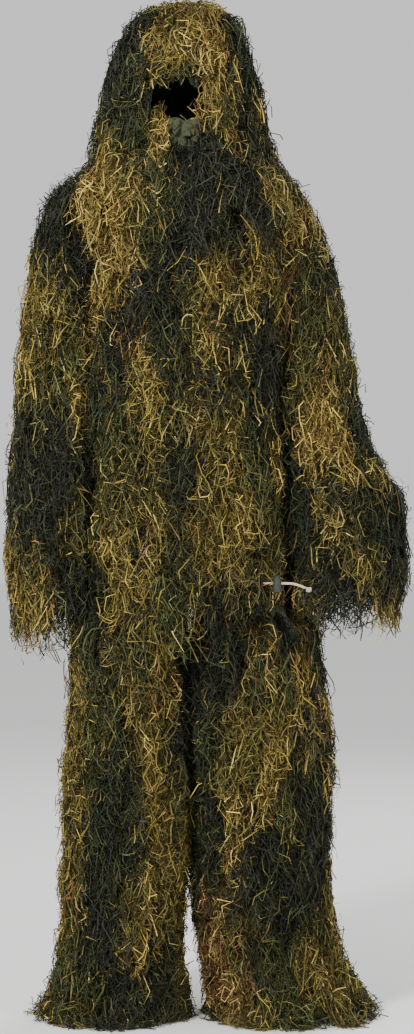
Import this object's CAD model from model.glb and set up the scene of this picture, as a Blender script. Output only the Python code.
"""Ghillie suit: a hood with cape and chin panel, a jacket and trousers of cloth sewn with thread tufts.

Every cloth panel is a closed thin wall on the suit's own outline. Tufts of twisted threads are sewn to it in
rows. Each tuft has one guide line that hangs down the outline, and a Geometry Nodes tree spins its threads
round the guide.
"""
from __future__ import annotations

import logging
import math
from dataclasses import dataclass, field, replace
from enum import Enum

import bmesh
import bpy
import numpy as np
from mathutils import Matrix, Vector


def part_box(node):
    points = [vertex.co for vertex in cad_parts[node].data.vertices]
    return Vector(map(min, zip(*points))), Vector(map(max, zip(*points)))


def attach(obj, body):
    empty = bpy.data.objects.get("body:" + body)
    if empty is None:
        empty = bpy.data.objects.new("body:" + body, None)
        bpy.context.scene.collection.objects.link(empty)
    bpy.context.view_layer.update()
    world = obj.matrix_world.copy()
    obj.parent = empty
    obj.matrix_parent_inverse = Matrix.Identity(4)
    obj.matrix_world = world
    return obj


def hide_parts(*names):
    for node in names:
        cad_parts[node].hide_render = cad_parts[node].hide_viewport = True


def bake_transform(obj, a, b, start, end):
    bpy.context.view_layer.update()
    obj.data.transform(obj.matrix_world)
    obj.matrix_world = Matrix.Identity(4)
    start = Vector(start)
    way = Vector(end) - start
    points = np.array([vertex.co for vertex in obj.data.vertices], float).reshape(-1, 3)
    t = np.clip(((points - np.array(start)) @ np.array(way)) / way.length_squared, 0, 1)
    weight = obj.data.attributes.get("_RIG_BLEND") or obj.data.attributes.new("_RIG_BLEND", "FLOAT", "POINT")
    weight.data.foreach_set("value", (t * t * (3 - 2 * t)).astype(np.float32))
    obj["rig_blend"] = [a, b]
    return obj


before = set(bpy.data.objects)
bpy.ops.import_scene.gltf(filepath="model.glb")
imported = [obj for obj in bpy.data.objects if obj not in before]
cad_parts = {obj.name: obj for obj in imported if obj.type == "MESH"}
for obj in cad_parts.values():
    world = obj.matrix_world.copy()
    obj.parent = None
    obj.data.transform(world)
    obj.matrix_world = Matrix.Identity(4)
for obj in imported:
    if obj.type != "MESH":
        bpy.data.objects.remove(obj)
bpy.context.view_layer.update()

log = logging.getLogger("ghillie_suit")

# Millimetres: the frame's origin above the floor, and the hood's middle along x.
# The x axis points to the wearer's left.
ORIGIN_HEIGHT = 1490.0
HOOD_X = -15.0
MM = 0.001
# How far threads may reach from the origin, in metres, and how high over the floor they end, in millimetres.
REACH_LEFT, REACH_RIGHT, REACH_DEEP, REACH_TOP = 0.412, 0.355, 0.198, 1.0
FLOOR_CLEARANCE = 2.4
Array = np.ndarray
Level = tuple[float, float, float, float, float, float]


def height_m(height: float) -> float:
    """A height above the floor in millimetres, as Z in metres in the row frame."""
    return (height - ORIGIN_HEIGHT) * MM


class Tone(float, Enum):
    """Where each dye lies on the palette, from the darkest green to rust."""

    CHARCOAL = 0.02
    BLACK_GREEN = 0.09
    FOREST = 0.20
    GREEN = 0.33
    DARK_OLIVE = 0.45
    OLIVE = 0.57
    OLIVE_OCHRE = 0.67
    OCHRE = 0.76
    TAN = 0.85
    BROWN = 0.935
    RUST = 0.985


class Facing(Enum):
    """Which side of the suit a colour patch is on."""

    FRONT = -1
    BACK = 1


# ---------------------------------------------------------------- finishes


class NodeBench:
    """Adds nodes to a tree and joins them, with one call for each node."""

    def __init__(self, tree: bpy.types.NodeTree) -> None:
        """Args: tree: the node tree to work in."""
        self.tree = tree

    def add(self, kind: str, inputs: dict | None = None, **settings: object) -> bpy.types.Node:
        """Adds one node.

        Args:
            kind: the node's class name.
            inputs: values or sockets, keyed by the input's name or number.
            settings: properties of the node.

        Returns:
            The new node.
        """
        node = self.tree.nodes.new(kind)
        for name, value in settings.items():
            setattr(node, name, value)
        for key, value in (inputs or {}).items():
            if isinstance(value, bpy.types.NodeSocket):
                self.tree.links.new(value, node.inputs[key])
            else:
                node.inputs[key].default_value = value
        return node

    def math(
        self, operation: str, first: object, second: object = 0.0, third: object = 0.0
    ) -> bpy.types.NodeSocket:
        """A Math node's result for one to three values or sockets."""
        kind = "ShaderNodeMath"
        inputs = {0: first, 1: second, 2: third} if operation == "MULTIPLY_ADD" else {0: first, 1: second}
        return self.add(kind, inputs, operation=operation).outputs[0]

    def vector(self, operation: str, first: object, second: object = (0, 0, 0)) -> bpy.types.NodeSocket:
        """A Vector Math node's vector for two vectors or sockets."""
        return self.add("ShaderNodeVectorMath", {0: first, 1: second}, operation=operation).outputs[0]

    def scaled(self, vector: object, factor: object) -> bpy.types.NodeSocket:
        """A vector times a number."""
        return self.add("ShaderNodeVectorMath", {0: vector, "Scale": factor}, operation="SCALE").outputs[0]


def effect_group(name: str, inputs: dict[str, tuple[str, object]], outputs: dict[str, str]) -> tuple:
    """Starts a shader node group with named sockets.

    Args:
        name: the group's name.
        inputs: each input's socket kind and default.
        outputs: each output's socket kind.

    Returns:
        The tree, a bench on it, and its input and output nodes.
    """
    tree = bpy.data.node_groups.new(name, "ShaderNodeTree")
    for label, (kind, default) in inputs.items():
        socket = tree.interface.new_socket(name=label, in_out="INPUT", socket_type=kind)
        if default is not None:
            socket.default_value = default
    for label, kind in outputs.items():
        tree.interface.new_socket(name=label, in_out="OUTPUT", socket_type=kind)
    bench = NodeBench(tree)
    return tree, bench, bench.add("NodeGroupInput"), bench.add("NodeGroupOutput")


def group_named(name: str) -> bpy.types.NodeTree:
    """The shader effect of that name, built the first time it is asked for."""
    found = bpy.data.node_groups.get(name)
    if found:
        return found
    return {"woven_cloth": build_weave, "blotched_print": build_print, "worn_dirt": build_dirt}[name]()


def build_weave() -> bpy.types.NodeTree:
    """Plain weave: crossed ribs as a height, and a mask of the gaps between the yarns."""
    tree, bench, given, made = effect_group(
        "woven_cloth",
        {"Vector": ("NodeSocketVector", None), "Yarns per metre": ("NodeSocketFloat", 900.0)},
        {"Height": "NodeSocketFloat", "Gaps": "NodeSocketFloat"},
    )
    grown = bench.scaled(given.outputs["Vector"], given.outputs["Yarns per metre"])
    parts = bench.add("ShaderNodeSeparateXYZ", {0: grown})
    across = bench.math("ADD", parts.outputs[0], parts.outputs[1])
    ribs = bench.math("ABSOLUTE", bench.math("SINE", bench.math("MULTIPLY", across, math.pi)))
    lines = bench.math("ABSOLUTE", bench.math("SINE", bench.math("MULTIPLY", parts.outputs[2], math.pi)))
    height = bench.math("MAXIMUM", ribs, lines)
    tree.links.new(height, made.inputs["Height"])
    tree.links.new(bench.math("SUBTRACT", 1.0, height), made.inputs["Gaps"])
    return tree


def build_print() -> bpy.types.NodeTree:
    """A woodland print: ragged patches of four colours, one over the other."""
    tree, bench, given, made = effect_group(
        "blotched_print",
        {
            "Vector": ("NodeSocketVector", None),
            "Patch scale": ("NodeSocketFloat", 22.0),
            "Ground": ("NodeSocketColor", (0.10, 0.12, 0.06, 1)),
            "Second": ("NodeSocketColor", (0.03, 0.05, 0.02, 1)),
            "Third": ("NodeSocketColor", (0.09, 0.05, 0.03, 1)),
            "Fourth": ("NodeSocketColor", (0.008, 0.009, 0.008, 1)),
        },
        {"Color": "NodeSocketColor", "Edge": "NodeSocketFloat"},
    )
    colour = given.outputs["Ground"]
    edge = None
    for place, (label, level) in enumerate((("Second", 0.53), ("Third", 0.60), ("Fourth", 0.585))):
        shifted = bench.vector("ADD", given.outputs["Vector"], (1.7 * place, 0.9 * place, 2.3 * place))
        noise = bench.add(
            "ShaderNodeTexNoise",
            {"Vector": shifted, "Scale": given.outputs["Patch scale"], "Detail": 5.0, "Roughness": 0.62},
        )
        mask = bench.add(
            "ShaderNodeMapRange",
            {"Value": noise.outputs[0], "From Min": level, "From Max": level + 0.012},
        ).outputs[0]
        mixed = bench.add("ShaderNodeMix", {0: mask, 6: colour, 7: given.outputs[label]}, data_type="RGBA")
        colour = mixed.outputs[2]
        edge = mask
    tree.links.new(colour, made.inputs["Color"])
    tree.links.new(edge, made.inputs["Edge"])
    return tree


def build_dirt() -> bpy.types.NodeTree:
    """Dust and wear: a soft cloudy mask, and a fine grain for height."""
    tree, bench, given, made = effect_group(
        "worn_dirt",
        {"Vector": ("NodeSocketVector", None), "Cloud scale": ("NodeSocketFloat", 14.0)},
        {"Dust": "NodeSocketFloat", "Grain": "NodeSocketFloat"},
    )
    place, scale = given.outputs["Vector"], given.outputs["Cloud scale"]
    cloud = bench.add("ShaderNodeTexNoise", {"Vector": place, "Scale": scale, "Detail": 4.0})
    dust = bench.add("ShaderNodeMapRange", {"Value": cloud.outputs[0], "From Min": 0.42, "From Max": 0.68})
    grain = bench.add("ShaderNodeTexNoise", {"Vector": place, "Scale": 900.0, "Detail": 2.0})
    tree.links.new(dust.outputs[0], made.inputs["Dust"])
    tree.links.new(grain.outputs[0], made.inputs["Grain"])
    return tree


@dataclass(frozen=True)
class Finish:
    """A finish that makes one material, the first time it is used."""

    name: str

    def material(self) -> bpy.types.Material:
        """The finish's material."""
        found = bpy.data.materials.get(self.name)
        if found:
            return found
        made = bpy.data.materials.new(self.name)
        made.use_nodes = True
        made.node_tree.nodes.clear()
        bench = NodeBench(made.node_tree)
        shader = bench.add("ShaderNodeBsdfPrincipled")
        bench.add("ShaderNodeOutputMaterial", {"Surface": shader.outputs[0]})
        self.dress(bench, shader)
        return made

    def dress(self, bench: NodeBench, shader: bpy.types.Node) -> None:
        """Feeds the shader. Args: bench: the material's bench; shader: its Principled node."""

    def bump(
        self, bench: NodeBench, shader: bpy.types.Node, height: object, strength: float, distance: float
    ) -> None:
        """Turns a height into the shader's normal.

        Args:
            bench: the material's bench.
            shader: its Principled node.
            height: the height socket.
            strength: how far the bump is mixed in.
            distance: the bump's depth in metres.
        """
        node = bench.add("ShaderNodeBump", {"Strength": strength, "Distance": distance, "Height": height})
        bench.tree.links.new(node.outputs[0], shader.inputs["Normal"])


@dataclass(frozen=True)
class ThreadFinish(Finish):
    """Dyed jute-like threads: the dye by U, and the shade from root to tip by V."""

    palette: tuple[tuple[float, float, float, float], ...] = (
        (0.00, 0.014, 0.014, 0.010),
        (0.08, 0.010, 0.012, 0.006),
        (0.20, 0.015, 0.021, 0.007),
        (0.33, 0.032, 0.041, 0.010),
        (0.45, 0.062, 0.058, 0.014),
        (0.57, 0.108, 0.090, 0.019),
        (0.67, 0.168, 0.126, 0.025),
        (0.76, 0.215, 0.150, 0.030),
        (0.85, 0.320, 0.240, 0.072),
        (0.90, 0.260, 0.178, 0.048),
        (0.925, 0.070, 0.042, 0.019),
        (0.96, 0.095, 0.048, 0.020),
        (1.00, 0.190, 0.066, 0.024),
    )

    def dress(self, bench: NodeBench, shader: bpy.types.Node) -> None:
        """Feeds the shader. Args: bench: the material's bench; shader: its Principled node."""
        place = bench.add("ShaderNodeUVMap", uv_map="OFBake").outputs[0]
        parts = bench.add("ShaderNodeSeparateXYZ", {0: place})
        ramp = bench.add("ShaderNodeValToRGB", {0: parts.outputs[0]})
        stops = ramp.color_ramp.elements
        for number, (spot, *colour) in enumerate(self.palette):
            stop = stops[number] if number < 2 else stops.new(spot)
            stop.position = spot
            stop.color = (*colour, 1)
        fibre = bench.add(
            "ShaderNodeTexNoise",
            {"Vector": bench.vector("MULTIPLY", place, (400.0, 16.0, 1.0)), "Scale": 1.0, "Detail": 3.0},
        )
        mottle = bench.add(
            "ShaderNodeMapRange",
            {"Value": fibre.outputs[0], "From Min": 0.3, "From Max": 0.7, "To Min": 0.62, "To Max": 1.3},
        )
        depth = bench.add(
            "ShaderNodeMapRange",
            {"Value": parts.outputs[1], "From Min": 0.04, "From Max": 0.68, "To Min": 0.06, "To Max": 1.05},
        )
        lot = bench.math("FLOOR", bench.math("MULTIPLY", parts.outputs[0], 260.0))
        luck = bench.add("ShaderNodeTexWhiteNoise", {"W": lot}, noise_dimensions="1D").outputs[0]
        bright = bench.math("POWER", luck, 3.0)
        lively = bench.math("MULTIPLY_ADD", bright, 3.1, 0.42)
        shade = bench.math("MULTIPLY", bench.math("MULTIPLY", mottle.outputs[0], lively), depth.outputs[0])
        faded = bench.math("MULTIPLY", bench.math("MULTIPLY", bright, depth.outputs[0]), 0.026)
        bleach = bench.scaled((1.0, 0.95, 0.75), faded)
        colour = bench.vector("ADD", bench.scaled(ramp.outputs[0], shade), bleach)
        bench.tree.links.new(colour, shader.inputs["Base Color"])
        shader.inputs["Roughness"].default_value = 0.78
        shader.inputs["Specular IOR Level"].default_value = 0.22


@dataclass(frozen=True)
class PrintedCloth(Finish):
    """Woven cloth or net with a woodland print."""

    ground: tuple[float, float, float] = (0.060, 0.070, 0.028)
    second: tuple[float, float, float] = (0.020, 0.034, 0.016)
    third: tuple[float, float, float] = (0.060, 0.036, 0.020)
    fourth: tuple[float, float, float] = (0.010, 0.012, 0.010)
    patch_scale: float = 18.0
    yarns: float = 420.0
    relief: float = 0.0006

    def dress(self, bench: NodeBench, shader: bpy.types.Node) -> None:
        """Feeds the shader. Args: bench: the material's bench; shader: its Principled node."""
        place = bench.add("ShaderNodeTexCoord").outputs["Object"]
        dye = bench.add("ShaderNodeGroup", node_tree=group_named("blotched_print"))
        bench.tree.links.new(place, dye.inputs["Vector"])
        dye.inputs["Patch scale"].default_value = self.patch_scale
        for label, colour in zip(("Ground", "Second", "Third", "Fourth"), self.colours()):
            dye.inputs[label].default_value = (*colour, 1)
        weave = bench.add("ShaderNodeGroup", node_tree=group_named("woven_cloth"))
        bench.tree.links.new(place, weave.inputs["Vector"])
        weave.inputs["Yarns per metre"].default_value = self.yarns
        dust = bench.add("ShaderNodeGroup", node_tree=group_named("worn_dirt"))
        bench.tree.links.new(place, dust.inputs["Vector"])
        light = bench.math("MULTIPLY_ADD", dust.outputs["Dust"], 0.35, 0.85)
        ribs = bench.math("MULTIPLY_ADD", weave.outputs["Gaps"], -0.45, 1.0)
        colour = bench.scaled(dye.outputs["Color"], bench.math("MULTIPLY", light, ribs))
        bench.tree.links.new(colour, shader.inputs["Base Color"])
        rough = bench.math("MULTIPLY_ADD", dust.outputs["Dust"], 0.12, 0.80)
        bench.tree.links.new(rough, shader.inputs["Roughness"])
        shader.inputs["Sheen Weight"].default_value = 0.1
        self.bump(bench, shader, weave.outputs["Height"], 0.7, self.relief)

    def colours(self) -> tuple[tuple[float, float, float], ...]:
        """The print's four colours, in the order that they are laid on."""
        return self.ground, self.second, self.third, self.fourth


@dataclass(frozen=True)
class TapeFinish(Finish):
    """Woven tape, elastic or cord: ribs, stitches' shade and a little dirt."""

    colour: tuple[float, float, float] = (0.06, 0.07, 0.035)
    ribs: float = 700.0
    relief: float = 0.0004
    roughness: float = 0.82

    def dress(self, bench: NodeBench, shader: bpy.types.Node) -> None:
        """Feeds the shader. Args: bench: the material's bench; shader: its Principled node."""
        place = bench.add("ShaderNodeTexCoord").outputs["Object"]
        weave = bench.add("ShaderNodeGroup", node_tree=group_named("woven_cloth"))
        bench.tree.links.new(place, weave.inputs["Vector"])
        weave.inputs["Yarns per metre"].default_value = self.ribs
        dust = bench.add("ShaderNodeGroup", node_tree=group_named("worn_dirt"))
        bench.tree.links.new(place, dust.inputs["Vector"])
        dust.inputs["Cloud scale"].default_value = 60.0
        light = bench.math("MULTIPLY_ADD", dust.outputs["Dust"], -0.28, 1.06)
        gaps = bench.math("MULTIPLY_ADD", weave.outputs["Gaps"], -0.4, 1.0)
        colour = bench.scaled((*self.colour,), bench.math("MULTIPLY", light, gaps))
        bench.tree.links.new(colour, shader.inputs["Base Color"])
        shader.inputs["Roughness"].default_value = self.roughness
        shader.inputs["Sheen Weight"].default_value = 0.15
        self.bump(bench, shader, weave.outputs["Height"], 0.8, self.relief)


@dataclass(frozen=True)
class HardFinish(Finish):
    """Metal or moulded plastic with a fine grain and dulled patches."""

    colour: tuple[float, float, float] = (0.05, 0.05, 0.04)
    worn: tuple[float, float, float] = (0.12, 0.11, 0.08)
    metallic: float = 0.0
    roughness: float = 0.45

    def dress(self, bench: NodeBench, shader: bpy.types.Node) -> None:
        """Feeds the shader. Args: bench: the material's bench; shader: its Principled node."""
        place = bench.add("ShaderNodeTexCoord").outputs["Object"]
        dust = bench.add("ShaderNodeGroup", node_tree=group_named("worn_dirt"))
        bench.tree.links.new(place, dust.inputs["Vector"])
        dust.inputs["Cloud scale"].default_value = 220.0
        mixed = bench.add(
            "ShaderNodeMix",
            {0: dust.outputs["Dust"], 6: (*self.colour, 1), 7: (*self.worn, 1)},
            data_type="RGBA",
        )
        bench.tree.links.new(mixed.outputs[2], shader.inputs["Base Color"])
        rough = bench.math("MULTIPLY_ADD", dust.outputs["Dust"], 0.22, self.roughness)
        bench.tree.links.new(rough, shader.inputs["Roughness"])
        shader.inputs["Metallic"].default_value = self.metallic
        self.bump(bench, shader, dust.outputs["Grain"], 0.3, 0.00008)


THREADS = ThreadFinish("dyed_threads")
NET_CLOTH = PrintedCloth("net_cloth")
CHIN_CLOTH = PrintedCloth(
    "leaf_cut_cloth",
    ground=(0.036, 0.044, 0.012),
    second=(0.013, 0.022, 0.006),
    third=(0.078, 0.072, 0.018),
    fourth=(0.005, 0.006, 0.003),
    patch_scale=46.0,
    yarns=1100.0,
    relief=0.0002,
)
TAPE = TapeFinish("olive_tape")
ELASTIC = TapeFinish("ribbed_elastic", colour=(0.018, 0.020, 0.016), ribs=450.0, relief=0.0005)
CORD = TapeFinish("cream_braid", colour=(0.52, 0.45, 0.31), ribs=620.0, relief=0.0005, roughness=0.7)
SNAP = HardFinish(
    "blackened_brass", colour=(0.05, 0.045, 0.035), worn=(0.32, 0.25, 0.13), metallic=0.9, roughness=0.38
)
LOCK = HardFinish("moulded_green", colour=(0.013, 0.016, 0.011), worn=(0.030, 0.034, 0.024), roughness=0.5)
STEEL = HardFinish(
    "spring_wire", colour=(0.55, 0.55, 0.53), worn=(0.36, 0.34, 0.31), metallic=1.0, roughness=0.28
)


# ---------------------------------------------------------------- outlines


@dataclass(frozen=True)
class Outline:
    """A stack of oval sections, lowest first: height, near x, far x, front y, back y (mm) and squareness."""

    levels: tuple[Level, ...]

    def at(self, heights: Array, turns: Array) -> Array:
        """Points of the outline.

        Args:
            heights: heights above the floor in millimetres.
            turns: angles round each section in radians, in the same shape.

        Returns:
            Points in metres in the row frame, with a last axis of three.
        """
        table = np.array(self.levels, float).T
        near, far, front, back, square = (np.interp(heights, table[0], row) for row in table[1:])
        power = 2 / square
        across, along = np.cos(turns), np.sin(turns)
        x = (near + far) / 2 + (far - near) / 2 * np.sign(across) * np.abs(across) ** power
        y = (front + back) / 2 + (back - front) / 2 * np.sign(along) * np.abs(along) ** power
        return np.stack([x * MM, y * MM, (heights - ORIGIN_HEIGHT) * MM], axis=-1)

    def mirrored(self) -> Outline:
        """The same outline on the other side of the suit."""
        return Outline(tuple((z, -x1, -x0, y0, y1, q) for z, x0, x1, y0, y1, q in self.levels))

    def inset(self, near: float, far: float, deep: float) -> Outline:
        """The outline moved in. Args: near, far, deep: millimetres in from each side."""
        return Outline(
            tuple((z, x0 + near, x1 - far, y0 + deep, y1 - deep, q) for z, x0, x1, y0, y1, q in self.levels)
        )

    def stations(self, step: float = 6.0) -> Array:
        """Heights from the top down, closer together where the outline is nearly flat."""
        heights = [self.levels[-1][0]]
        for low, high in reversed(list(zip(self.levels, self.levels[1:]))):
            rise = high[0] - low[0]
            wide = max(abs(a - b) for a, b in zip(low[1:5], high[1:5]))
            count = max(1, round(math.hypot(rise, wide) / step))
            heights += [high[0] - rise * (n + 1) / count for n in range(count)]
        return np.array(heights)

    def spread_turns(self, height: float, count: int, low: float, high: float) -> Array:
        """Turns evenly spaced in distance round one section.

        Args:
            height: the section's height.
            count: how many turns.
            low: the first turn of the range.
            high: the last turn of the range.

        Returns:
            The turns.
        """
        fine = np.linspace(low, high, 240)
        points = self.at(np.full(240, height), fine)
        run = np.concatenate([[0], np.cumsum(np.linalg.norm(np.diff(points, axis=0), axis=1))])
        return np.interp((np.arange(count) + 0.5) / count * run[-1], run, fine)

    def girth(self, height: float, low: float, high: float) -> float:
        """The distance in metres round one section, between two turns."""
        fine = np.linspace(low, high, 120)
        points = self.at(np.full(120, height), fine)
        return float(np.linalg.norm(np.diff(points, axis=0), axis=1).sum())


@dataclass(frozen=True)
class Patch:
    """A patch of tufts in one dye: its middle and half sizes in millimetres, and the side that it is on."""

    x: float
    height: float
    half_width: float
    half_height: float
    tone: float
    facing: Facing = Facing.FRONT


PATCHES = (
    # hood and cape
    Patch(-35, 1752, 58, 62, Tone.OLIVE_OCHRE),
    Patch(46, 1680, 28, 92, Tone.OCHRE),
    Patch(-142, 1650, 52, 120, Tone.BLACK_GREEN),
    Patch(-95, 1700, 20, 60, Tone.FOREST),
    Patch(112, 1650, 42, 120, Tone.FOREST),
    Patch(-54, 1560, 18, 80, Tone.OCHRE),
    Patch(14, 1480, 58, 84, Tone.CHARCOAL),
    Patch(-105, 1545, 30, 55, Tone.GREEN),
    Patch(95, 1500, 34, 60, Tone.BLACK_GREEN),
    # jacket
    Patch(-108, 1290, 22, 62, Tone.BLACK_GREEN),
    Patch(-142, 1385, 62, 128, Tone.OCHRE),
    Patch(-165, 1250, 26, 70, Tone.OLIVE_OCHRE),
    Patch(-245, 1420, 46, 84, Tone.BLACK_GREEN),
    Patch(196, 1420, 32, 92, Tone.TAN),
    Patch(150, 1300, 36, 120, Tone.OCHRE),
    Patch(127, 1150, 30, 132, Tone.BLACK_GREEN),
    Patch(90, 1330, 26, 90, Tone.OLIVE),
    Patch(-62, 1010, 20, 250, Tone.OLIVE_OCHRE),
    Patch(-22, 1080, 16, 180, Tone.FOREST),
    Patch(22, 990, 22, 240, Tone.OLIVE),
    Patch(70, 940, 20, 150, Tone.OLIVE_OCHRE),
    Patch(-115, 930, 30, 120, Tone.DARK_OLIVE),
    Patch(-150, 1090, 26, 90, Tone.GREEN),
    # sleeves
    Patch(-268, 1240, 36, 84, Tone.OLIVE_OCHRE),
    Patch(-230, 1120, 30, 60, Tone.GREEN),
    Patch(-262, 960, 70, 110, Tone.BLACK_GREEN),
    Patch(-210, 830, 50, 50, Tone.DARK_OLIVE),
    Patch(258, 1215, 28, 96, Tone.DARK_OLIVE),
    Patch(262, 980, 44, 150, Tone.OCHRE),
    Patch(330, 900, 26, 90, Tone.OLIVE),
    Patch(372, 850, 30, 90, Tone.BLACK_GREEN),
    Patch(210, 900, 26, 110, Tone.FOREST),
    # trousers
    Patch(172, 679, 18, 16, Tone.RUST),
    Patch(-72, 615, 14, 16, Tone.RUST),
    Patch(182, 570, 48, 100, Tone.OLIVE_OCHRE),
    Patch(90, 340, 20, 130, Tone.OCHRE),
    Patch(-200, 470, 16, 230, Tone.OLIVE_OCHRE),
    Patch(-24, 210, 16, 190, Tone.OLIVE_OCHRE),
    Patch(-110, 560, 44, 90, Tone.OLIVE),
    Patch(-130, 300, 40, 110, Tone.FOREST),
    Patch(120, 690, 30, 60, Tone.FOREST),
    Patch(60, 600, 30, 120, Tone.BLACK_GREEN),
    Patch(170, 250, 44, 120, Tone.FOREST),
    Patch(240, 120, 50, 70, Tone.OLIVE),
    # back
    Patch(60, 1400, 60, 90, Tone.OCHRE, Facing.BACK),
    Patch(-90, 1250, 50, 120, Tone.OLIVE_OCHRE, Facing.BACK),
    Patch(0, 1700, 70, 70, Tone.OLIVE, Facing.BACK),
    Patch(-110, 1640, 40, 80, Tone.BLACK_GREEN, Facing.BACK),
    Patch(90, 1050, 44, 140, Tone.GREEN, Facing.BACK),
    Patch(-40, 950, 40, 120, Tone.BLACK_GREEN, Facing.BACK),
    Patch(130, 560, 44, 120, Tone.OLIVE_OCHRE, Facing.BACK),
    Patch(-130, 420, 44, 140, Tone.OCHRE, Facing.BACK),
)

COMMON_TONES = (
    (Tone.BLACK_GREEN, 0.24),
    (Tone.FOREST, 0.20),
    (Tone.GREEN, 0.13),
    (Tone.DARK_OLIVE, 0.14),
    (Tone.OLIVE, 0.13),
    (Tone.OLIVE_OCHRE, 0.09),
    (Tone.OCHRE, 0.045),
    (Tone.BROWN, 0.025),
)


def tones_at(points: Array, rng: np.random.Generator) -> Array:
    """The dye of each tuft.

    Args:
        points: each tuft's middle, in metres in the row frame.
        rng: the source of chance.

    Returns:
        Palette places from 0 to 1.
    """
    x, height = points[:, 0] / MM, points[:, 2] / MM + ORIGIN_HEIGHT
    side = np.where(points[:, 1] < 0.01, -1, 1)
    column = np.floor((x + 26 * np.sin(height / 130)) / 52).astype(int)
    row = np.floor((height + 71 * np.mod(column * 5, 7)) / 190).astype(int)
    cell = (column * 73856093) ^ (row * 19349663) ^ (side * 83492791)
    names = np.array([float(tone) for tone, _ in COMMON_TONES])
    edges = np.cumsum([share for _, share in COMMON_TONES])
    chance = np.mod(np.abs(cell) * 0.6180339887, 1.0)
    common = names[np.minimum(np.searchsorted(edges / edges[-1], chance), len(names) - 1)]
    stray = names[np.searchsorted(edges / edges[-1], rng.random(len(x)) * 0.999)]
    tones = np.where(rng.random(len(x)) < 0.22, stray, common)
    for patch in PATCHES:
        reach = ((x - patch.x) / patch.half_width) ** 2 + ((height - patch.height) / patch.half_height) ** 2
        reach = reach + rng.normal(0, 0.28, len(x))
        inside = (reach < 1.15) & (side == patch.facing.value)
        tones = np.where(inside & (rng.random(len(x)) < 0.70), float(patch.tone), tones)
    return tones


# ---------------------------------------------------------------- cloth and threads


def mesh_object(name: str, vertices: Array, faces: list[tuple[int, ...]], finish: Finish) -> bpy.types.Object:
    """A smooth-shaded mesh object at the origin.

    Args:
        name: the piece's name.
        vertices: its points in metres.
        faces: its faces as vertex numbers.
        finish: its finish.

    Returns:
        The object.
    """
    mesh = bpy.data.meshes.new(name)
    mesh.from_pydata([tuple(point) for point in vertices], [], faces)
    mesh.validate()
    mesh.update()
    mesh.polygons.foreach_set("use_smooth", [True] * len(mesh.polygons))
    mesh.materials.append(finish.material())
    made = bpy.data.objects.new(name, mesh)
    bpy.context.scene.collection.objects.link(made)
    return made


def walled(
    name: str, grid: Array, wall: float, joined: bool, finish: Finish, keep: Array | None = None
) -> bpy.types.Object:
    """A closed thin wall over a grid of points.

    Args:
        name: the piece's name.
        grid: points, rows by columns by three, with the outside to the left of each row's run.
        wall: the wall's thickness in metres.
        joined: True where each row's last point meets its first.
        finish: the cloth's finish.
        keep: which quads are kept, or None for all.

    Returns:
        The object.
    """
    rows, columns = grid.shape[:2]
    spans = columns if joined else columns - 1
    ahead = np.roll(grid, -1, 1) - np.roll(grid, 1, 1)
    if not joined:
        ahead[:, 0], ahead[:, -1] = grid[:, 1] - grid[:, 0], grid[:, -1] - grid[:, -2]
    normals = np.cross(ahead, np.gradient(grid, axis=0))
    normals /= np.maximum(np.linalg.norm(normals, axis=-1, keepdims=True), 1e-9)
    middle = grid.reshape(-1, 3).mean(0)
    if ((grid - middle) * normals).sum() < 0:
        normals = -normals
    inner = grid - normals * wall
    vertices = np.concatenate([grid.reshape(-1, 3), inner.reshape(-1, 3)])
    under = rows * columns
    kept = np.ones((rows - 1, spans), bool) if keep is None else keep
    faces: list[tuple[int, ...]] = []
    rims: dict[tuple[int, int], int] = {}
    for r, c in zip(*np.nonzero(kept)):
        a, b = r * columns + c, r * columns + (c + 1) % columns
        d, e = (r + 1) * columns + c, (r + 1) * columns + (c + 1) % columns
        faces += [(a, b, e, d), (under + a, under + d, under + e, under + b)]
        for edge in ((a, b), (b, e), (e, d), (d, a)):
            rims[edge] = rims.get(edge, 0) + 1
    for a, b in rims:
        if (b, a) not in rims:
            faces.append((b, a, under + a, under + b))
    made = mesh_object(name, vertices, faces, finish)
    mesh = made.data
    work = bmesh.new()
    work.from_mesh(mesh)
    bmesh.ops.remove_doubles(work, verts=work.verts, dist=1e-6)
    loose = [vertex for vertex in work.verts if not vertex.link_faces]
    bmesh.ops.delete(work, geom=loose, context="VERTS")
    bmesh.ops.recalc_face_normals(work, faces=work.faces)
    work.to_mesh(mesh)
    work.free()
    return made


@dataclass(frozen=True)
class ThreadSizes:
    """How one panel's tufts are spun."""

    threads: int = 40
    points: int = 12
    width: float = 0.0018
    spread: float = 0.024
    lift: float = 0.013
    curl: float = 0.0088
    pitch: float = 0.050
    scatter: float = 0.07
    shortest: float = 0.42
    wander: float = 0.027


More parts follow.
